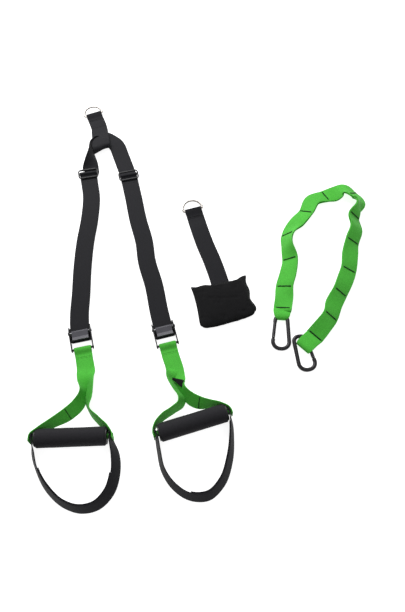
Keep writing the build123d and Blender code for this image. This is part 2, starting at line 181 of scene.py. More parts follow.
def section(width, thick):
    """Outline of webbing: flat faces, a shallow groove inside each rounded selvedge."""
    half, round_edge = width / 2, thick / 2
    inner = half - round_edge
    inset, depth = GROOVE
    top = [(-inner, 1), (-inner + inset, depth), (-inner + 2 * inset, 1)]
    top += [(-inner / 2, CROWN[0]), (0, CROWN[1])]
    top += [(-u, v) for u, v in reversed(top[:-1])]
    top = [(u, v * thick / 2) for u, v in top]
    edge = [(inner + round_edge * math.sin(a), round_edge * math.cos(a)) for a in EDGE_TURNS]
    return top + edge + [(-u, -v) for u, v in top] + [(-u, -v) for u, v in edge]


def new_object(name, bm, material, body=None):
    bmesh.ops.recalc_face_normals(bm, faces=bm.faces)
    for face in bm.faces:
        face.smooth = True
    mesh = bpy.data.meshes.new(name)
    bm.to_mesh(mesh)
    bm.free()
    obj = bpy.data.objects.new(name, mesh)
    bpy.context.scene.collection.objects.link(obj)
    mesh.materials.append(material)
    if body:
        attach(obj, body)
    return obj


def dress(piece, cad_body, *replaced):
    """Ties a finished piece to its CAD body and hides the CAD nodes it stands for."""
    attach(piece, cad_body)
    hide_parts(*replaced)


def skin(bm, rings, closed=False, uvs=None):
    """Quads between neighbouring rings of points, with flat ends unless closed."""
    rows = [[bm.verts.new(Vector(p) * MM) for p in ring] for ring in rings]
    layer = bm.loops.layers.uv.verify()
    count = len(rows)
    for i in range(count if closed else count - 1):
        for k in range(len(rows[0])):
            m, n = (i + 1) % count, (k + 1) % len(rows[0])
            face = bm.faces.new((rows[i][k], rows[m][k], rows[m][n], rows[i][n]))
            if uvs:
                corners = ((i, k), (i + 1, k), (i + 1, k + 1), (i, k + 1))
                for loop, (a, b) in zip(face.loops, corners):
                    loop[layer].uv = (uvs[0][a], uvs[1][b])
    if not closed:
        bm.faces.new(rows[0])
        bm.faces.new(rows[-1])


FLOOR_GAP = 0.02
SETTLE = 4  # cross-sections either side that rise with one that would sink


def rest_on_floor(rings):
    """Raises each cross-section that dips below the floor, easing its neighbours up with it."""
    needed = np.array([max(0.0, FLOOR_GAP - min(point[2] for point in ring)) for ring in rings])
    last = len(rings) - 1
    near = [np.clip(np.arange(len(rings)) + n, 0, last) for n in range(-SETTLE, SETTLE + 1)]
    spread = np.max([needed[index] for index in near], axis=0)
    rise = np.mean([spread[index] for index in near], axis=0)
    return [[point + np.array(UP) * up for point in ring] for ring, up in zip(rings, rise)]


def strap(name, samples, slot, closed=False):
    """Webbing along samples of (point, across, width, thickness), resting on the floor."""
    points, across, normal = axes_along(samples, closed)
    steps = np.linalg.norm(np.diff(points, axis=0), axis=1)
    along = np.concatenate([[0], np.cumsum(steps)])
    if closed:
        along = np.append(along, along[-1] + steps[-1])
    rings = []
    for i in range(len(points)):
        width, thick = samples[i, 6], samples[i, 7]
        outline = section(width, thick)
        rings.append([points[i] + across[i] * u + normal[i] * v for u, v in outline])
    rings = rest_on_floor(rings)
    outline = section(*samples[0, 6:8]) + section(*samples[0, 6:8])[:1]
    turns = np.cumsum([0] + [math.dist(a, b) for a, b in zip(outline, outline[1:])])
    bm = bmesh.new()
    skin(bm, rings, closed, (along / 10, turns / 10))
    return new_object(name, bm, looks[slot])


def knot(point, across, width=WEBBING, thick=PLY):
    return (*point, *across, width, thick)


# along a stitch: the share of its length, then its thickness and rise as shares of its radius
STITCH = ((0, 0.35, -0.6), (0.15, 0.9, 0.1), (0.5, 1, 0.5), (0.85, 0.9, 0.1), (1, 0.35, -0.6))
STITCH_SIDES = 6
STITCH_PITCH = 3.0
STITCH_LENGTH = 2.2
SEAM_THREAD = 0.35


def threads(name, pieces, radius, material, body):
    """Short raised stitches, each from a to b on a surface whose normal is up."""
    bm = bmesh.new()
    turns = [math.tau * k / STITCH_SIDES for k in range(STITCH_SIDES)]
    for a, b, up in pieces:
        a, b, up = Vector(a), Vector(b), Vector(up).normalized()
        side = (b - a).cross(up).normalized()
        rings = []
        for share, thick, rise in STITCH:
            centre = a.lerp(b, share) + up * (radius * rise)
            rings.append([centre + (side * math.cos(w) + up * math.sin(w)) * radius * thick for w in turns])
        skin(bm, rings)
    return new_object(name, bm, material, body)


def seam(place, half, y, z):
    """A row of stitches across a strap at y, `half` to either side, on a surface at height z."""
    count = int(2 * half / STITCH_PITCH)
    first = -count * STITCH_PITCH / 2 + (STITCH_PITCH - STITCH_LENGTH) / 2
    starts = [first + STITCH_PITCH * n for n in range(count)]
    return [(place.at(x, y, z), place.at(x + STITCH_LENGTH, y, z), UP) for x in starts]


def bar_tack(point, across, normal, half, width):
    """Close zigzag stitching over a bar."""
    passes = 22
    along = np.cross(across, normal)
    ends = []
    for n in range(passes + 1):
        way = 1 if n % 2 else -1
        ends.append(point + across * half * (2 * n / passes - 1) + along * way * width / 2)
    return [(a, b, normal) for a, b in zip(ends, ends[1:])]


def tube(bm, points, radius, sides=10):
    """A closed round cord through points."""
    points = np.array(points, float)
    along = unit(np.roll(points, -1, axis=0) - np.roll(points, 1, axis=0))
    side = unit(np.cross(along, UP))
    over = np.cross(side, along)
    rings = []
    for p, s, o in zip(points, side, over):
        turns = [math.tau * k / sides for k in range(sides)]
        rings.append([p + radius * (math.cos(w) * s + math.sin(w) * o) for w in turns])
    skin(bm, rings, closed=True)


# ==== materials ====
class Look:
    """A principled material and short ways to wire nodes into it."""

    def __init__(self, name, colour, roughness, metallic=0.0, specular=0.5):
        self.material = bpy.data.materials.new(name)
        self.material.use_nodes = True
        self.tree = self.material.node_tree
        self.shader = self.tree.nodes["Principled BSDF"]
        self.put(self.shader, "Base Color", (*colour, 1))
        self.put(self.shader, "Roughness", roughness)
        self.put(self.shader, "Metallic", metallic)
        self.put(self.shader, "Specular IOR Level", specular)

    def put(self, node, socket, value):
        if isinstance(value, bpy.types.NodeSocket):
            self.tree.links.new(value, node.inputs[socket])
        else:
            node.inputs[socket].default_value = value

    def node(self, kind, **inputs):
        made = self.tree.nodes.new("ShaderNode" + kind)
        for socket, value in inputs.items():
            self.put(made, socket.replace("_", " "), value)
        return made

    def coords(self, kind, scale=(1, 1, 1)):
        source = self.node("TexCoord")
        return self.node("Mapping", Vector=source.outputs[kind], Scale=scale).outputs["Vector"]

    def mix(self, factor, dark, light):
        ramp = self.node("ValToRGB", Fac=factor)
        ramp.color_ramp.elements[0].color = (*dark, 1)
        ramp.color_ramp.elements[1].color = (*light, 1)
        return ramp.outputs["Color"]

    def bump(self, height, strength, distance, normal=None):
        made = self.node("Bump", Height=height, Strength=strength, Distance=distance)
        if normal:
            self.put(made, "Normal", normal)
        return made.outputs["Normal"]


def shade(colour, amount):
    return tuple(c * amount for c in colour)


WORN, FRESH = 0.75, 1.3  # darkest and lightest tone of a plain material


def webbing_look(name, colour, sheen, contrast):
    """Woven webbing: staggered yarns from the strap's own lengthwise coordinates."""
    look = Look(name, colour, 0.72, specular=0.12)
    yarns = look.node("TexBrick", Vector=look.coords("UV"), Scale=1.0)
    yarns.offset = 0.5
    for socket, value in (("Brick Width", 0.26), ("Row Height", 0.11), ("Mortar Size", 0.014),
                          ("Mortar Smooth", 1.0), ("Bias", 0.0)):
        look.put(yarns, socket, value)
    look.put(yarns, "Color1", (*shade(colour, 1 + contrast), 1))
    look.put(yarns, "Color2", (*shade(colour, 1 - contrast), 1))
    look.put(yarns, "Mortar", (*shade(colour, 0.45), 1))
    cloudy = look.node("TexNoise", Vector=look.coords("Object"), Scale=22.0, Detail=3.0)
    tone = look.mix(cloudy.outputs["Fac"], (0.86, 0.86, 0.86), (1.1, 1.1, 1.1))
    tint = look.node("MixRGB", Fac=1.0, Color1=yarns.outputs["Color"], Color2=tone)
    tint.blend_type = "MULTIPLY"
    look.put(look.shader, "Base Color", tint.outputs["Color"])
    fibres = look.node("TexNoise", Vector=look.coords("UV", (30, 160, 1)), Scale=1.0, Detail=2.0)
    fine = look.bump(fibres.outputs["Fac"], 0.25, 0.0002)
    look.put(look.shader, "Normal", look.bump(yarns.outputs["Fac"], -0.55, 0.0004, fine))
    look.put(look.shader, "Sheen Weight", sheen)
    look.put(look.shader, "Sheen Roughness", 0.5)
    return look.material


def cloth_look(name, colour, scale):
    """Plain woven cover cloth."""
    look = Look(name, colour, 0.85, specular=0.1)
    waves = []
    for direction in ("X", "Y"):
        wave = look.node("TexWave", Vector=look.coords("Object"), Scale=scale, Distortion=0.4)
        wave.bands_direction = direction
        waves.append(wave.outputs["Fac"])
    both = look.node("Math")
    both.operation = "MULTIPLY"
    look.put(both, 0, waves[0])
    look.put(both, 1, waves[1])
    look.put(look.shader, "Base Color", look.mix(both.outputs[0], shade(colour, 0.7), shade(colour, 1.2)))
    look.put(look.shader, "Normal", look.bump(both.outputs[0], 0.5, 0.0004))
    look.put(look.shader, "Sheen Weight", 0.03)
    return look.material


def foam_look(name, colour):
    """Closed-cell foam with fine pores."""
    look = Look(name, colour, 0.8, specular=0.15)
    cells = look.node("TexVoronoi", Vector=look.coords("Object"), Scale=1400.0)
    rough = look.node("TexNoise", Vector=look.coords("Object"), Scale=260.0, Detail=4.0)
    tone = look.mix(rough.outputs["Fac"], shade(colour, WORN), shade(colour, FRESH))
    look.put(look.shader, "Base Color", tone)
    pores = look.bump(cells.outputs["Distance"], 0.35, 0.0002)
    look.put(look.shader, "Normal", look.bump(rough.outputs["Fac"], 0.3, 0.0005, pores))
    look.put(look.shader, "Sheen Weight", 0.05)
    return look.material


def coated_look(name, colour, roughness, metallic=0.0, grain=900.0, strength=0.12):
    """Powder coat, anodising or moulded plastic: a fine grain and slight wear in tone."""
    look = Look(name, colour, roughness, metallic, 0.25)
    fine = look.node("TexNoise", Vector=look.coords("Object"), Scale=grain, Detail=3.0)
    broad = look.node("TexNoise", Vector=look.coords("Object"), Scale=grain / 12, Detail=5.0)
    tone = look.mix(broad.outputs["Fac"], shade(colour, WORN), shade(colour, FRESH))
    look.put(look.shader, "Base Color", tone)
    gloss = look.node("MapRange", Value=broad.outputs["Fac"])
    look.put(gloss, "To Min", roughness - 0.1)
    look.put(gloss, "To Max", roughness + 0.12)
    look.put(look.shader, "Roughness", gloss.outputs["Result"])
    look.put(look.shader, "Normal", look.bump(fine.outputs["Fac"], strength, 0.0003))
    return look.material


def steel_look(name, colour, roughness):
    """Plated wire: fine scratches along it and faint tarnish."""
    look = Look(name, colour, roughness, 1.0)
    scratch = look.node("TexNoise", Vector=look.coords("Object", (900, 900, 120)), Scale=1.0, Detail=4.0)
    tarnish = look.node("TexNoise", Vector=look.coords("Object"), Scale=60.0, Detail=4.0)
    look.put(look.shader, "Base Color", look.mix(tarnish.outputs["Fac"], shade(colour, 0.8), colour))
    gloss = look.node("MapRange", Value=scratch.outputs["Fac"])
    look.put(gloss, "To Min", roughness - 0.08)
    look.put(gloss, "To Max", roughness + 0.15)
    look.put(look.shader, "Roughness", gloss.outputs["Result"])
    look.put(look.shader, "Normal", look.bump(scratch.outputs["Fac"], 0.05, 0.0002))
    return look.material


BLACK = (0.0085, 0.0085, 0.0108)
GREEN = (0.066, 0.42, 0.04)

looks = {
    "black_webbing": webbing_look("black_webbing", BLACK, 0.05, 0.15),
    "green_webbing": webbing_look("green_webbing", GREEN, 0.06, 0.06),
    "dark_thread": coated_look("dark_thread", (0.002, 0.018, 0.005), 0.8),
    "black_thread": coated_look("black_thread", (0.011, 0.011, 0.013), 0.6),
    "green_thread": coated_look("green_thread", (0.04, 0.28, 0.02), 0.7),
    "pad_cloth": cloth_look("pad_cloth", (0.0075, 0.0075, 0.0082), 700.0),
    "label_cloth": cloth_look("label_cloth", (0.008, 0.008, 0.009), 500.0),
    "grip_foam": foam_look("grip_foam", (0.014, 0.0135, 0.016)),
    "tube_plastic": coated_look("tube_plastic", (0.01, 0.01, 0.011), 0.5),
    "slider_plastic": coated_look("slider_plastic", (0.008, 0.008, 0.009), 0.6),
    "black_steel": coated_look("black_steel", (0.009, 0.009, 0.01), 0.42, 0.1),
    # cam_grey is a lighter copy of black_steel: painted highlight for the cam lever's tilted face catching the
    # light
    "cam_grey": coated_look("cam_grey", (0.034, 0.033, 0.041), 0.45, 0.15),
    "zinc_steel": steel_look("zinc_steel", (0.16, 0.16, 0.165), 0.35),
    "spring_steel": steel_look("spring_steel", (0.25, 0.25, 0.26), 0.3),
    "carabiner_coat": coated_look("carabiner_coat", (0.022, 0.021, 0.023), 0.36, 0.4),
    "ring_steel": steel_look("ring_steel", (0.33, 0.31, 0.29), 0.3),
}


# ==== main anchor ====
def eye_knots(place, height, radius, angles, width):
    """Knots round a bar that lies along the place's x axis."""
    made = []
    for angle in angles:
        a = math.radians(angle)
        point = place.at(0, radius * math.cos(a), height + radius * math.sin(a))
        made.append(knot(point, place.x, width))
    return made


ANCHOR_PLY = 2.75  # height of the fold's upper ply
ANCHOR_FLAT = ((0, -RING_NECK), (0, -30), (-1, -46))
ANCHOR_LOOP = (
    # x, y, z of the knots round the open loop, and how far the strap is turned there
    (-5, -64, 6.5, 4), (-9, -84, 12.5, 7), (-13, -102, 15.5, 10), (-16.5, -115, 14, 12),
    (-18, -120, 8.5, 12), (-16.5, -115.5, 2.6, 11), (-12, -98, 0.95, 9), (-6, -72, 0.92, 5),
)
ANCHOR_SEAMS = (-17, -20, -43)
SEAM_HALF = 17


def anchor_strap(place):
    """Strap folded round the ring's bar, sewn to itself, with an open loop left at its end."""
    upper = [knot(place.at(x, y, ANCHOR_PLY), place.x) for x, y in ANCHOR_FLAT]
    lower = [knot(place.at(x, y, FOLD_LOW), place.x) for x, y in reversed(ANCHOR_FLAT)]
    loop = []
    for x, y, z, turn in ANCHOR_LOOP:
        loop.append(knot(place.at(x, y, z), place.turned(turn).x, WEBBING + turn / 4))
    ring = eye_knots(place, place.height, RING_EYE, RING_TURNS, RING_STRAP)
    samples = smooth(lower + ring + upper + loop, step=2.0, closed=True)[0]
    body = strap("anchor_loop_webbing", samples, "black_webbing", closed=True)
    dress(body, "anchor", "anchor_loop")
    rows = []
    for y in ANCHOR_SEAMS:
        rows += seam(place, SEAM_HALF, y, ANCHOR_PLY + 1.0)
    threads("anchor_stitching", rows, SEAM_THREAD, looks["black_thread"], "anchor")


SADDLE = (
    # x, y, z on the anchor's axes, across, width, thickness
    (-38, -108, 13, (0.25, 0, -1), 26, 2.2),
    (-31, -92, 9, (0.5, 0.5, -0.8), 20, 3.0),
    (-19, -78, 6.5, (0.6, 0.6, -0.5), 16, 3.4),
    (-7, -72, 5.6, (0.2, 1, -0.2), 20, 3.2),
    (3, -80, 4.5, (0.75, 0.6, 0), 30, 2.4),
    (12, -95, 3.2, (0.9, 0.4, 0), 37, 1.9),
    (18.5, -108, 2.9, (0.97, 0.12, 0), 38, 1.8),
)


def saddle(place):
    """The middle of the main strap, gathered where it runs through the anchor's open loop."""
    knots = [knot(place.at(x, y, z), place.toward(*way), w, t) for x, y, z, way, w, t in SADDLE]
    body = strap("strap_saddle_webbing", smooth(knots, step=2.0)[0], "black_webbing")
    dress(body, "anchor", "strap_saddle")


anchor = place_of("anchor_ring_swing")
anchor_strap(anchor)
saddle(anchor)


# ==== legs ====
UPPER_LEG = {
    # from the saddle to the slider: x, y, z on the anchor's axes, across, width
    "left": [(-31, -92, 9.1, (0.5, 0.5, -0.8), 19), (-38, -108, 13.1, (0.25, 0, -1), 26),
             (-42.5, -124, 12, (0.4, -0.05, -1), 30), (-49, -142, 8.5, (0.8, -0.15, -0.75), 34),
             (-57, -160, 3.5, (0.95, -0.2, -0.25), 37), (-64, -174, 1.1, (0.98, -0.19, 0), 38)],
    "right": [(12, -95, 3.3, (0.9, 0.4, 0), 36.5), (18.5, -108, 3.0, (0.97, 0.12, 0), 38),
              (21, -119, 2.2, (0.995, -0.1, 0), 38), (20.5, -140, 1.2, (1, -0.1, 0), 38),
              (19.5, -165, 1.0, (1, -0.08, 0), 38), (18, -195, 0.95, (0.99, -0.12, 0), 38)],
}
GLIDE_TURN = {"left": 11.0, "right": 13.2}  # degrees of each slider on the floor
MAIN_TOP = 11  # where the main strap starts, inside the slider
GLIDE_FOOT = -30  # where it leaves the slider
RUN_START = -60  # where its long run starts, measured from the slider
BEND_FROM_BAR = 60.0  # where each leg turns towards its buckle
BUCKLE_TOP = 40
LEG_DRIFT = {
    # how the long strap wanders sideways: share of its long run, and the drift
    "left": [(0, 0), (0.2, 1.5), (0.4, -3.0), (0.6, -3.5), (0.8, -1.0), (0.95, 0)],
    "right": [(0, 0), (0.2, -1.0), (0.4, 1.5), (0.55, -2.0), (0.75, 1.5), (0.95, 0)],
}
PLATE_START = 18.5  # middle of the fold round the buckle's floor plate
PLATE_MIDDLE = 2.65  # and its height
TAIL_BLEND = -32  # below the slider
TAIL_SEAMS = ((-15, 1.05), (-21, 0.98))  # place of each seam, and its height over the ply's middle
TAIL_SEAM_HALF = 16


def glide_place(side):
    middle = middle_of(f"{side}_slider")
    turn = math.radians(GLIDE_TURN[side])
    return Place(middle, (math.cos(turn), math.sin(turn), 0))


def upper_leg(side, glide):
    """The main strap from the saddle to the slider."""
    knots = [knot(anchor.at(x, y, z), anchor.toward(*way), w) for x, y, z, way, w in UPPER_LEG[side]]
    knots.append(knot(glide.at(0, 0, FLAT), glide.x))
    body = strap(f"{side}_upper_webbing", smooth(knots, step=2.5)[0], "black_webbing")
    swing = Vector(joint(f"{side}_leg_lift")["pos_m"])
    down = Vector(glide.at(0, 0, 0)) * MM - swing
    down.z = 0
    down.normalize()
    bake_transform(body)


def lower_leg(side, glide, buckle):
    """The main strap from the slider down to the buckle's floor plate."""
    rows = [knot(glide.at(0, MAIN_TOP, FLAT), glide.x), knot(glide.at(0, GLIDE_FOOT, FLAT), glide.x)]
    bend = buckle.at(0, BEND_FROM_BAR, FLAT)
    start = glide.at(0, RUN_START, FLAT)
    across = (glide.x + buckle.x).normalized()
    for share, drift in LEG_DRIFT[side]:
        rows.append(knot(start.lerp(bend, share) + across * drift, across))
    rows.append(knot(buckle.at(0, BUCKLE_TOP, FLAT), buckle.x))
    rows.append(knot(buckle.at(0, PLATE_START, FLAT), buckle.x))
    body = strap(f"{side}_main_webbing", smooth(rows, step=3.0)[0], "black_webbing")
    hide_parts(f"{side}_main_strap")
    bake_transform(body)


def plate_fold(buckle, radius):
    """Knots of the strap where it turns round the buckle's floor plate."""
    rows = [knot(buckle.at(0, PLATE_START + 2, PLATE_MIDDLE - radius), buckle.x)]
    for angle in PLATE_TURNS:
        a = math.radians(angle)
        point = buckle.at(0, PLATE_START + radius * math.cos(a), PLATE_MIDDLE + radius * math.sin(a))
        rows.append(knot(point, buckle.x))
    return rows


def tail(side, glide, buckle):
    """The strap's returning end: round the floor plate, up the leg, round the slider's bar."""
    radius = PLATE_MIDDLE - PLY / 2
    height = PLATE_MIDDLE + radius
    rows = plate_fold(buckle, radius)
    rows += [knot(buckle.at(0, y, height), buckle.x) for y in (24, 44)]
    bend, start = buckle.at(0, BEND_FROM_BAR, height), glide.at(0, RUN_START, height)
    across = (glide.x + buckle.x).normalized()
    for share, drift in LEG_DRIFT[side][::-1]:
        rows.append(knot(start.lerp(bend, share) + across * drift, across))
    rows += [knot(glide.at(0, y, height + rise), glide.x) for y, rise in ((-26, 0.1), (-10, 0.6))]
    rows += eye_knots(glide, glide.height, GLIDE_EYE, GLIDE_TURNS, WEBBING)
    rows += [knot(glide.at(0, y, z), glide.x) for y, z in ((-8, 3.1), (-26, 2.8))]
    body = strap(f"{side}_tail_webbing", smooth(rows, step=2.2)[0], "black_webbing")
    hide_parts(f"{side}_tail_strap")
    follows = glide.at(0, TAIL_BLEND, height)
    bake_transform(body)
    rows = []
    for y, rise in TAIL_SEAMS:
        rows += seam(glide, TAIL_SEAM_HALF, y, height + rise)
    name = f"{side}_tail_stitching"
    threads(name, rows, SEAM_THREAD, looks["black_thread"], f"{side}_slider")


# ==== slings and cradles, on the handle's axes ====
BRANCHES = {
    # the front ply's branch then the back ply's, each from the neck to the handle's end:
    # x, y, z, across, width
    "left": (
        [(17, 133, 3.6, (1, -0.05, -0.1), 32), (17, 108, 8, (0.75, -0.1, -0.7), 31),
         (17.5, 86, 14, (0.35, 0.15, -1), 30), (10, 65, 13.5, (0.75, 0, -0.8), 30),
         (-9, 45.5, 14.5, (0.65, -0.3, -0.8), 30), (-35, 29.5, 16, (0.3, -0.25, -0.95), 29),
         (-60, 15, 17, (0.1, -0.1, -1), 28), (-73.5, 5, 17.5, (0, 0, -1), 28),
         (-75, -7, 17.5, (0, 0, -1), 26)],
        [(21, 133, 1.6, (1, 0, 0.15), 32), (28, 108, 8, (0.6, 0, 0.8), 31),
         (27.5, 74, 13, (0.6, 0, 0.9), 30), (30, 53, 14, (0.1, 0.1, 1), 29),
         (48, 31, 15.5, (0.2, 0.2, 1), 28), (66, 13, 17, (0.25, 0.1, 1), 28),
         (75, 3, 17.5, (0, 0, 1), 28), (76, -7, 17.5, (0, 0, 1), 26)],
    ),
    "right": (
        [(0, 118, 3.4, (1, 0.1, 0.05), 33), (-2, 92, 5, (0.95, 0.15, 0.3), 32),
         (1, 66, 9.5, (0.3, 0.35, 0.85), 30), (10, 47, 12, (0.45, 0.4, 0.8), 30),
         (23, 35, 13.5, (0.5, 0.35, 0.8), 30), (40, 26.5, 15.5, (0.25, 0.2, 0.95), 29),
         (60, 16, 17, (0.1, 0.1, 1), 28), (73, 4, 17.5, (0, 0, 1), 28), (74.5, -7, 17.5, (0, 0, 1), 26)],
        [(-2, 118, 1.6, (1, 0, -0.1), 33), (-14, 97, 9, (0.5, 0, -0.85), 31),
         (-10, 72, 12, (0.45, 0, -0.9), 30), (-5, 54.5, 13.5, (0.5, -0.1, -0.9), 29),
         (-10, 44, 14, (0.35, -0.2, -0.95), 28), (-27, 36, 14.5, (0.15, -0.2, -1), 28),
         (-50, 28, 15.5, (0.1, -0.2, -1), 28), (-67, 17, 17, (0.05, -0.05, -1), 28),
         (-75, 4, 17.5, (0, 0, -1), 28), (-75.5, -7, 17.5, (0, 0, -1), 26)],
    ),
}
BRANCH_TACK = 4  # the front branch's knot where its end is sewn down
NECK_KNOTS = (-11, -22)  # where the neck's plies lie flat, measured from the buckle's bar
NECK_HEIGHTS = (1.0, 2.85)  # middles of its lower and upper ply
NECK_SEAMS = (-17, -20)
NECK_SEAM_HALF = 15
NECK_SEAM_HEIGHT = 3.8
CRADLES = {
    # x, y, and degrees that the strap's top edge leans towards the middle of the hoop
    "left": [(-70.5, 7, 0), (-71, -4, 8), (-68, -24, 24), (-58, -56, 16), (-36, -92, 18), (-6, -118, 20),
             (22, -127, 24), (50, -122, 28), (72, -100, 34), (82, -66, 36), (81, -34, 34), (73, -6, 14),
             (70.5, 7, 0)],
    "right": [(-70.5, 7, 0), (-71, -4, 12), (-74, -30, 16), (-76, -66, 16), (-66, -98, 20), (-44, -124, 22),
              (-12, -133, 28), (18, -118, 28), (44, -84, 24), (60, -48, 20), (69, -16, 14), (70.5, -4, 6),
              (70.5, 7, 0)],
}
CRADLE_PADS = {"left": (3, 9), "right": (5, 10)}  # first and last point that the second ply covers
HOOP_MIDDLE = (0, -60, 0)
HOOP_SLOPE = 0.035  # how much lower the hoop lies for each millimetre from the handle


def branch(handle, rows):
    return [knot(handle.at(x, y, z), handle.toward(*way), w) for x, y, z, way, w in rows]


def sling(side, buckle, handle):
    """One length of webbing: a branch, the neck, the eye on the buckle's bar, and the other branch."""
    front, back = BRANCHES[side]
    low, high = NECK_HEIGHTS
    upper = [knot(buckle.at(0, y, high), buckle.x, SLING_WIDTH) for y in NECK_KNOTS]
    lower = [knot(buckle.at(0, y, low), buckle.x, SLING_WIDTH) for y in reversed(NECK_KNOTS)]
    eye = eye_knots(buckle, buckle.height, BAR_EYE, BAR_TURNS, SLING_WIDTH)
    rows = branch(handle, back)[::-1] + lower + eye + upper + branch(handle, front)
    samples, marks = smooth(rows, step=2.2)
    name = f"{side}_sling"
    body = strap(f"{name}_webbing", samples, "green_webbing")
    dress(body, name, name)
    rows = []
    for y in NECK_SEAMS:
        rows += seam(buckle, NECK_SEAM_HALF, y, NECK_SEAM_HEIGHT)
    threads(f"{name}_stitching", rows, 0.3, looks["green_thread"], name)
    spot = marks[BRANCH_TACK - len(front)]
    points, across, normal = axes_along(samples)
    tacks = []
    for face in (normal[spot], -normal[spot]):
        tacks += bar_tack(points[spot] + face * PLY / 2, across[spot], face, half=13, width=2.2)
    threads(f"{name}_tack", tacks, 0.5, looks["dark_thread"], name)
    core(side, handle)


CORE_TURNS, CORE_SIDES = 3, 72
CORE_START, CORE_GROWTH = 1.4, 4.3  # radius of the spiral's middle line, and what it gains
CORE_HALF = 1.6 / 3.4  # half the thickness of the rolled webbing
CORE_END = 76.5
CORE_STATIONS = (-CORE_END, -CORE_END + 1, -30, 0, 30, CORE_END - 1, CORE_END)
CORE_PINCH = 0.94  # how much the ends are drawn in


def core(side, handle):
    """The webbing's rolled end inside the tube, a spiral that shows at both ends of the handle."""
    ring = []
    for way in (1, -1):
        radii = []
        for k in range(CORE_SIDES + 1):
            share = k / CORE_SIDES
            radius = CORE_START + CORE_GROWTH * share + way * CORE_HALF
            radii.append((radius, math.tau * CORE_TURNS * share))
        ring += radii if way > 0 else radii[::-1]
    rings = []
    for x in CORE_STATIONS:
        pinch = CORE_PINCH if abs(x) == CORE_END else 1.0
        rings.append([handle.at(x, 0, handle.height) + handle.y * r * pinch * math.cos(a)
                      + UP * r * pinch * math.sin(a) for r, a in ring])
    bm = bmesh.new()
    skin(bm, rings)
    new_object(f"{side}_sling_core", bm, looks["green_webbing"], f"{side}_sling")


def cradle_rows(handle, points, inset):
    """Knots of a hoop that stands on edge, `inset` towards the middle of the hoop."""
    rows = []
    middle = Vector(HOOP_MIDDLE)
    for x, y, lean in points:
        inward = (middle - Vector((x, y, 0))).normalized()
        turn = math.radians(lean)
        tall = handle.toward(inward.x * math.sin(turn), inward.y * math.sin(turn), math.cos(turn))
        height = handle.height + y * HOOP_SLOPE - (1 - math.cos(turn)) * CRADLE_WIDTH / 2
        point = handle.at(x + inward.x * inset, y + inward.y * inset, height)
        rows.append(knot(point, tall, CRADLE_WIDTH))
    return rows


def cradle(side, handle):
    """Foot hoop standing on edge, with a second ply sewn inside its foot."""
    name = f"{side}_cradle"
    hoop = cradle_rows(handle, CRADLES[side], 0)
    body = strap(f"{name}_webbing", smooth(hoop, step=2.2)[0], "black_webbing")
    dress(body, name, f"{name}_strap")
    first, last = CRADLE_PADS[side]
    samples, marks = smooth(cradle_rows(handle, CRADLES[side], CRADLE_PLIES), step=2.2)
    pad = strap(f"{name}_foot_ply", samples[marks[first]:marks[last]], "black_webbing")
    dress(pad, name, f"{name}_ply")
    middle, across, normal = axes_along(samples)
    rows = []
    for i in (marks[first] + 2, marks[last] - 3):
        to_middle = np.array(handle.at(*HOOP_MIDDLE) - Vector(middle[i]))
        inward = normal[i] if normal[i] @ to_middle > 0 else -normal[i]
        rows += bar_tack(middle[i] + inward * PLY / 2, across[i], inward, half=10, width=2.4)
    threads(f"{name}_stitching", rows, 0.4, looks["black_thread"], name)


GRIP_SIDES, GRIP_SPANS = 72, 44
GRIP_SKIN = ((2.2, 0.12), (14, 0.05))  # scale and height of the skin's unevenness
GRIP_SEED = {"left": 5, "right": 0}  # keeps the two grips from looking alike


def grip(side, handle):
    """Foam sleeve: rounded rims, and a skin that is a little uneven."""
    length, radius, bore, rim = 63.5, 17.4, 14.05, 2.2
    stations = [(length - rim * (1 - math.sin(a)), radius - rim * (1 - math.cos(a)))
                for a in (math.radians(d) for d in (90, 70, 50, 30, 10))]
    profile = [(length, bore), (length, radius - rim)] + stations[1:]
    inner = length - rim
    outer = [(inner - 2 * inner * n / GRIP_SPANS, radius) for n in range(GRIP_SPANS + 1)]
    profile = profile + outer + [(-x, r) for x, r in reversed(profile)]
    rings = []
    for x, r in profile:
        ring = []
        for k in range(GRIP_SIDES):
            a = math.tau * k / GRIP_SIDES
            spot = Vector((x * 0.05, math.cos(a) * 0.9, math.sin(a) * 0.9 + GRIP_SEED[side]))
            rough = sum(tall * noise.noise(spot * scale) for scale, tall in GRIP_SKIN) if r > bore else 0
            reach = r + rough
            ring.append(handle.at(x, reach * math.cos(a), handle.height + reach * math.sin(a)))
        rings.append(ring)
    bm = bmesh.new()
    skin(bm, rings, closed=True)
    body = new_object(f"{side}_grip_sleeve", bm, looks["grip_foam"], f"{side}_grip")
    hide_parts(f"{side}_grip_foam")


for side in ("left", "right"):
    glide = glide_place(side)
    buckle = place_of(f"{side}_sling_fold", -1)
    handle = place_of(f"{side}_grip_spin")
    upper_leg(side, glide)
    lower_leg(side, glide, buckle)
    tail(side, glide, buckle)
    sling(side, buckle, handle)
    cradle(side, handle)
    grip(side, handle)


LABEL = ((-10, 30, 11.5, 4), (-3, 23, 14, 8), (3, 16, 17.5, 12), (6.8, 10, 21, 14))  # x, y, z, width
LABEL_THICK = 0.9


def label():
    """A blank woven tab, folded over and sewn beside the right sling's split."""
    middle = middle_of("right_sling_label")
    spot = Place(middle, place_of("right_sling_fold", -1).x)
    rows = []
    for x, y, z, width in LABEL:
        rows.append(knot(spot.at(x, y, z), spot.toward(-0.1, -1, 0.1), width, LABEL_THICK))
    body = strap("right_sling_tab", smooth(rows, step=1.5)[0], "label_cloth")
    dress(body, "right_sling", "right_sling_label")


label()


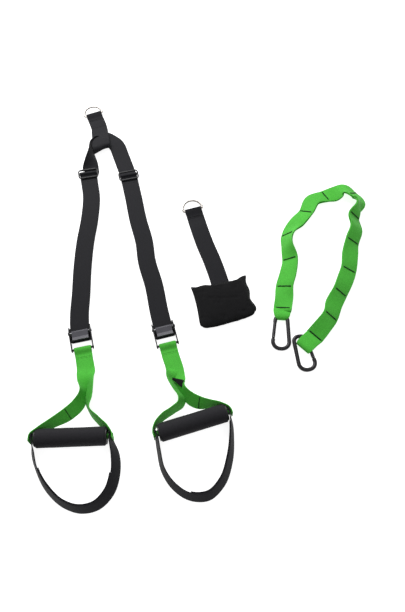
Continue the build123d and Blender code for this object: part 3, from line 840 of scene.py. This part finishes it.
# ==== extension strap ====
EXTENSION = [
    (143, -85, 15, 1), (148, -57, 8, 0), (150, -33, 22, 1), (159, -2, 26, 0), (165, 32, 39, 1),
    (160, 62, 60, 0), (164, 92, 50, 1), (188, 129, 24, 0), (209, 155, 30, 1), (228, 190, 19, 0),
    (256, 202, 13, 1), (277, 210, 2, 0), (299, 219, 20, 0), (317, 204, 37, 1), (328, 189, 35, 0),
    (323, 160, 68, 0), (313, 143, 46, 1), (314, 109, 40, 0), (302, 77, 36, 1), (295, 48, 22, 0),
    (287, 7, 25, 1), (278, -16, 23, 0), (263, -48, 32, 1), (248, -75, 22, 0), (238, -103, 32, 1),
    (220, -127, 24, 0), (203, -146, 10, 1),
]
# the two ends folded round a carabiner: middle of the fold, turn, slack past the rod, which way
# the strap's outer edge lies on the fold's own x axis, and the widths over the top and back under
END_A = ((140.3, -103.2), 176.0, 7, 1, (35, 34, 33, 30, 24, 20, 18, 20, 28))
END_B = ((181.1, -168.5), 135.0, 22, -1, (37, 36, 36, 35, 33, 31, 30, 31, 34))
EXTENSION_WIDTH = WEBBING - 0.5
EXTENSION_HEIGHT = 1.9  # of the middle line where the strap lies flat
PLY_OFFSET = 0.95  # from the middle line to each ply
HUMP = 3.2  # rise of the upper ply between two bar tacks
HUMP_POWER = 1.2
TACK_LIFT = 2.5  # from the middle line to the bar tacks' threads
TACK_THREAD = 0.8


def fold_over(end):
    """Knots over a carabiner's rod, down its far side and back under it."""
    (x, y), turn, slack, way, widths = end
    turn = math.radians(turn)
    spot = Place((x, y, 0), (math.cos(turn), math.sin(turn), 0))
    path = [(-slack - 8, 7.5), (-slack, 10.8), (-slack / 2, 11.5), (1, 11.2), (4.8, 8.8),
            (5.4, 5.2), (3.6, 2.0), (-2, 1.0), (-slack - 2, 1.0)]
    rows = []
    for (along, height), width in zip(path, widths):
        rows.append(knot(spot.at(0, along, height), spot.x * way, width))
    return rows


def extension_rows():
    """Middle line of the two plies: point, across, and whether a bar tack crosses there."""
    rows = []
    for i, (x, y, lean, tack) in enumerate(EXTENSION):
        turn = math.radians(lean)
        before, after = EXTENSION[max(i - 1, 0)], EXTENSION[min(i + 1, len(EXTENSION) - 1)]
        outward = Vector((before[1] - after[1], after[0] - before[0], 0)).normalized()
        height = (WEBBING - 1) * math.sin(turn) / 2 + EXTENSION_HEIGHT
        rows.append(((x, y, height), outward * math.cos(turn) - UP * math.sin(turn), tack))
    return rows


def humps(marks, tacks, count):
    """How far the upper ply stands up at each sample, from 0 at a bar tack to 1 halfway."""
    arch = np.zeros(count)
    for a, b in zip(tacks, tacks[1:]):
        span = np.arange(marks[a], marks[b] + 1)
        share = (span - marks[a]) / (marks[b] - marks[a])
        arch[span] = np.sin(math.pi * share) ** HUMP_POWER
    return arch


def extension_tacks(points, across, up, spots):
    """Close stitching across the strap wherever its plies are sewn together."""
    stitches = []
    for spot in spots:
        spot = min(max(spot, 1), len(points) - 2)
        start = points[spot] + up[spot] * TACK_LIFT
        stitches += bar_tack(start, across[spot], up[spot], half=14.5, width=2.6)
    thread = looks["dark_thread"]
    body = threads("extension_tack_threads", stitches, TACK_THREAD, thread, "extension")
    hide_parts("extension_bar_tacks")


def extension():
    """One strap folded round both carabiners, its two plies sewn by bar tacks into a row of loops."""
    rows = extension_rows()
    tacks = [i for i, (_, _, tack) in enumerate(rows) if tack]
    samples, marks = smooth([knot(point, way, EXTENSION_WIDTH) for point, way, _ in rows], step=2.4)
    points, across, normal = axes_along(samples)
    up = np.array([n if n[2] > 0 else -n for n in normal])
    arch = humps(marks, tacks, len(samples))
    plies = []
    for base, hump in ((PLY_OFFSET, HUMP), (-PLY_OFFSET, 0.0)):
        ply = samples.copy()
        ply[:, :3] = points + up * base + np.array(UP) * (hump * arch)[:, None]
        plies.append([tuple(row) for row in ply[::2]])
    ring = plies[0] + fold_over(END_B) + plies[1][::-1] + fold_over(END_A)[::-1]
    samples = smooth(ring, step=2.4, closed=True)[0]
    body = strap("extension_webbing", samples, "green_webbing", closed=True)
    dress(body, "extension", "extension_front_ply", "extension_back_ply")
    extension_tacks(points, across, up, [marks[i] for i in tacks])


extension()


# ==== door anchor ====
DOOR_DRIFT = ((0.0, 0), (0.2, -1.2), (0.45, -1.5), (0.7, 0.5), (0.9, 0.6), (1.0, 0))  # share, drift
DOOR_PLY, DOOR_RISE = 2.8, 0.5  # height of the upper ply at its ends, and how much it rises between
DOOR_TUCK = -9  # how far the strap goes into the pad
DOOR_BLEND = (7, -5)  # before and past the pad's hinge
DOOR_SEAMS = (-17, -20)
DOOR_SEAM_HEIGHT = 3.85


def door_anchor():
    """Strap folded round the door ring's bar, both plies tucked into the pad."""
    door = place_of("door_ring_swing")
    hinge = place_of("door_pad_fold", -1)
    end = hinge.at(0, 0, 0)
    start = door.at(0, -RING_NECK, 0)
    upper, lower = [], []
    for share, drift in DOOR_DRIFT:
        spot = start.lerp(end, share) + door.x * drift
        across = door.x.lerp(hinge.x, share)
        upper.append(knot(spot + UP * (DOOR_PLY + DOOR_RISE * math.sin(math.pi * share)), across))
        lower.append(knot(spot + UP * FOLD_LOW, across))
    upper.append(knot(hinge.at(0, DOOR_TUCK, 3.2), hinge.x))
    lower.append(knot(hinge.at(0, DOOR_TUCK, 1.3), hinge.x))
    ring = eye_knots(door, door.height, RING_EYE, RING_TURNS, RING_STRAP)
    samples = smooth(lower[::-1] + ring + upper, step=2.2)[0]
    body = strap("door_strap_webbing", samples, "black_webbing")
    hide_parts("door_strap")
    before, past = [hinge.at(0, y, 0) * MM for y in DOOR_BLEND]
    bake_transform(body)
    rows = []
    for y in DOOR_SEAMS:
        rows += seam(door, SEAM_HALF, y, DOOR_SEAM_HEIGHT)
    threads("door_stitching", rows, SEAM_THREAD, looks["black_thread"], "door_strap")


PAD_CELLS = (46, 38)
PAD_CORNERS = ((-62, -50), (60, -45.5), (61, 46), (-57, 48.5))  # from the lower left, anticlockwise
SIDE_PULL, TOP_PULL = 2.6, 2.0  # how far the edges pull in between the corners
BOTTOM_SAG = 5.0  # how far the lower edge hangs out again
CORNER_DRAW = 5.5  # how far the lower corners are drawn in
SIDE_WAVE, TOP_WAVE = 1.3, 0.9
PAD_MIDDLE, PAD_BULGE = 0.42, 0.40  # shares of the height: the rim, and each sheet's rise from it
PIPING = 1.0


def pad_outline(u, v):
    """The cover's flat shape: u and v run from -1 to 1 across it and up it."""
    corners = [Vector(corner) for corner in PAD_CORNERS]
    bottom = corners[0].lerp(corners[1], (u + 1) / 2)
    top = corners[3].lerp(corners[2], (u + 1) / 2)
    spot = bottom.lerp(top, (v + 1) / 2)
    low = max(0, -v)
    spot.x -= SIDE_PULL * u * (1 - v * v) + CORNER_DRAW * u**7 * low**7
    spot.x += SIDE_WAVE * math.sin(7 * v) * max(0, u) ** 4
    spot.y -= TOP_PULL * v * (1 - u * u) + BOTTOM_SAG * low**4 * (1 - u * u) - CORNER_DRAW * u**8 * low**7
    spot.y += TOP_WAVE * math.sin(9 * u) * max(0, v) ** 4
    return spot


def pad_sheet(bm, spot, tall, way, sewn_to=None):
    """One sheet of the cover, by cell corner. It shares its rim with the sheet it is sewn to."""
    columns, rows = PAD_CELLS
    sheet = {}
    for i in range(columns + 1):
        for k in range(rows + 1):
            if sewn_to and (i in (0, columns) or k in (0, rows)):
                sheet[i, k] = sewn_to[i, k]
                continue
            u, v = 2 * i / columns - 1, 2 * k / rows - 1
            bulge = ((1 - u**4) * (1 - v**4)) ** 0.5
            x, y = pad_outline(u, v)
            z = tall * PAD_MIDDLE + way * tall * PAD_BULGE * bulge
            sheet[i, k] = bm.verts.new(spot.at(x, y, z) * MM)
    return sheet


def pad_rim():
    """Cell corners round the cover's rim, anticlockwise from the lower left."""
    columns, rows = PAD_CELLS
    edge = [(i, 0) for i in range(columns)] + [(columns, k) for k in range(rows)]
    return edge + [(i, rows) for i in range(columns, 0, -1)] + [(0, k) for k in range(rows, 0, -1)]


def pad_mesh(tall):
    """The cover's two sheets sewn round the rim, and the rim's vertices in order."""
    spot = Place(middle_of("pad_foam"), place_of("door_pad_fold", -1).x)
    columns, rows = PAD_CELLS
    bm = bmesh.new()
    top = pad_sheet(bm, spot, tall, 1)
    bottom = pad_sheet(bm, spot, tall, -1, top)
    for sheet in (top, bottom):
        for i in range(columns):
            for k in range(rows):
                corners = [sheet[i, k], sheet[i + 1, k], sheet[i + 1, k + 1], sheet[i, k + 1]]
                bm.faces.new(corners[::-1] if sheet is bottom else corners)
    bm.verts.ensure_lookup_table()
    bm.verts.index_update()
    return bm, [top[key].index for key in pad_rim()]


def pouch():
    """Padded cover, sewn round its rim from two sheets and blown up over its foam block."""
    low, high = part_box("pad_cover")
    tall = (high.z - low.z) / MM
    bm, rim = pad_mesh(tall)
    body = new_object("door_pad_cover", bm, looks["pad_cloth"])
    inflate(body, tall)
    cord = [Vector(body.data.vertices[i].co) / MM for i in rim]
    piping = bmesh.new()
    tube(piping, cord, PIPING)
    soften = body.modifiers.new("soften", "SUBSURF")
    soften.levels = 1
    soften.render_levels = 1
    dress(body, "door_pad", "pad_cover", "pad_foam")
    new_object("door_pad_piping", piping, looks["pad_cloth"], "door_pad")


PRESSURE = 3.0
STRETCH_STIFFNESS = 25
BEND_STIFFNESS = 0.4
CLOTH_FRAMES = 20
CLOTH_REACH = 6  # furthest that the simulation may move a point
PAD_FLOOR = 0.3  # height of the cover's lowest points
PAD_FLAT, PAD_PRESS = 2.5, 0.35  # below this height the underside is flattened, and how much
CREASE = 2.6  # depth of the creases in the cover
CREASE_FADE = 12  # below this height they fade out


def blown_up(body, rest):
    """The cover's points after a cloth simulation under pressure."""
    cloth = body.modifiers.new("cloth", "CLOTH")
    cloth.settings.use_pressure = True
    cloth.settings.uniform_pressure_force = PRESSURE
    cloth.settings.effector_weights.gravity = 0
    cloth.settings.tension_stiffness = STRETCH_STIFFNESS
    cloth.settings.compression_stiffness = STRETCH_STIFFNESS
    cloth.settings.bending_stiffness = BEND_STIFFNESS
    cloth.settings.quality = 6
    for n in range(1, CLOTH_FRAMES + 1):
        bpy.context.scene.frame_set(n)
    shown = body.evaluated_get(bpy.context.evaluated_depsgraph_get())
    moved = np.array([v.co for v in shown.data.vertices])
    body.modifiers.remove(cloth)
    bpy.context.scene.frame_set(1)
    step = moved - rest
    size = np.linalg.norm(step, axis=1, keepdims=True)
    return rest + step * np.minimum(1, CLOTH_REACH * MM / np.maximum(size, 1e-9))


def crease(x, y):
    """How deep a crease runs at this spot, as a share of CREASE."""
    return noise.noise(Vector((x / 9, y / 26 + x / 50, 0))) + 0.5 * noise.noise(Vector((x / 30, y / 7, 4)))


def inflate(body, tall):
    """Blows up the cover, holds it between the floor and the foam's height, and creases it."""
    rest = np.array([v.co for v in body.data.vertices])
    rest = blown_up(body, rest)
    heights = rest[:, 2]
    low, high = heights.min(), heights.max()
    rest[:, 2] = PAD_FLOOR * MM + (heights - low) * (tall * MM - PAD_FLOOR * MM) / (high - low)
    soft = np.clip(rest[:, 2] / MM, 0, None)
    rest[:, 2] = np.where(soft < PAD_FLAT, PAD_FLOOR + soft**2 * PAD_PRESS, soft) * MM
    for vertex, place in zip(body.data.vertices, rest):
        x, y, z = place / MM
        place[2] -= CREASE * MM * max(0, crease(x, y)) * min(1, z / CREASE_FADE)
        vertex.co = place


door_anchor()
pouch()


# ==== looks of the CAD nodes that stay ====
for piece in frame["record"]["subparts"]:
    node = frame["nodes"][piece["node"]]
    if node.hide_render:
        continue
    node.data.materials.clear()
    node.data.materials.append(looks[piece["material_slot"]])


# ==== floor, light and camera ====
centre = (cad_box[0] + cad_box[1]) / 2
FLOOR_GLOW = 0.85
SKY_GLOW = (0.12, 0.55)  # strength at the horizon and overhead
LAMPS = (
    ("back", (-0.6, 1.5, 1.5), 62, 1.0),
    ("front", (0.7, -1.4, 1.8), 9, 2.0),
)
TILT = 62  # degrees that the camera looks down
AIM = (-0.0202, -0.0742, 0)
DISTANCE = 1.2849
LENS = 36.76


def floor():
    bm = bmesh.new()
    bmesh.ops.create_grid(bm, x_segments=2, y_segments=2, size=6)
    look = Look("floor", (0.5, 0.5, 0.5), 0.9, specular=0.0)
    look.put(look.shader, "Emission Color", (1, 1, 1, 1))
    look.put(look.shader, "Emission Strength", FLOOR_GLOW)
    plane = new_object("floor", bm, look.material)
    plane.location.z = cad_box[0].z - 0.0005


def sky():
    """Soft light that grows towards the zenith. The camera itself sees plain white."""
    world = bpy.data.worlds.new("studio")
    world.use_nodes = True
    nodes, links = world.node_tree.nodes, world.node_tree.links
    height = nodes.new("ShaderNodeSeparateXYZ")
    glow = nodes.new("ShaderNodeMapRange")
    links.new(nodes.new("ShaderNodeTexCoord").outputs["Generated"], height.inputs["Vector"])
    links.new(height.outputs["Z"], glow.inputs["Value"])
    glow.inputs["To Min"].default_value = SKY_GLOW[0]
    glow.inputs["To Max"].default_value = SKY_GLOW[1]
    backdrop = nodes.new("ShaderNodeMix")
    links.new(nodes.new("ShaderNodeLightPath").outputs["Is Camera Ray"], backdrop.inputs["Factor"])
    links.new(glow.outputs["Result"], backdrop.inputs["A"])
    backdrop.inputs["B"].default_value = 1.0
    links.new(backdrop.outputs["Result"], nodes["Background"].inputs["Strength"])
    nodes["Background"].inputs["Color"].default_value = (1, 1, 1, 1)
    bpy.context.scene.world = world


def lamps():
    for name, spot, power, size in LAMPS:
        lamp = bpy.data.lights.new(name, "AREA")
        lamp.energy = power
        lamp.size = size
        light = bpy.data.objects.new(name, lamp)
        light.location = centre + Vector(spot)
        light.rotation_euler = (-Vector(spot)).to_track_quat("-Z", "Y").to_euler()
        bpy.context.scene.collection.objects.link(light)


def camera():
    data = bpy.data.cameras.new("camera")
    data.lens = LENS
    data.sensor_width = 36.0
    eye = bpy.data.objects.new("camera", data)
    bpy.context.scene.collection.objects.link(eye)
    tilt = math.radians(TILT)
    eye.location = Vector(AIM) + Vector((0, -math.cos(tilt), math.sin(tilt))) * DISTANCE
    eye.rotation_euler = (math.pi / 2 - tilt, 0, 0)
    bpy.context.scene.camera = eye


floor()
sky()
lamps()
bpy.context.scene.view_settings.view_transform = "Standard"
camera()
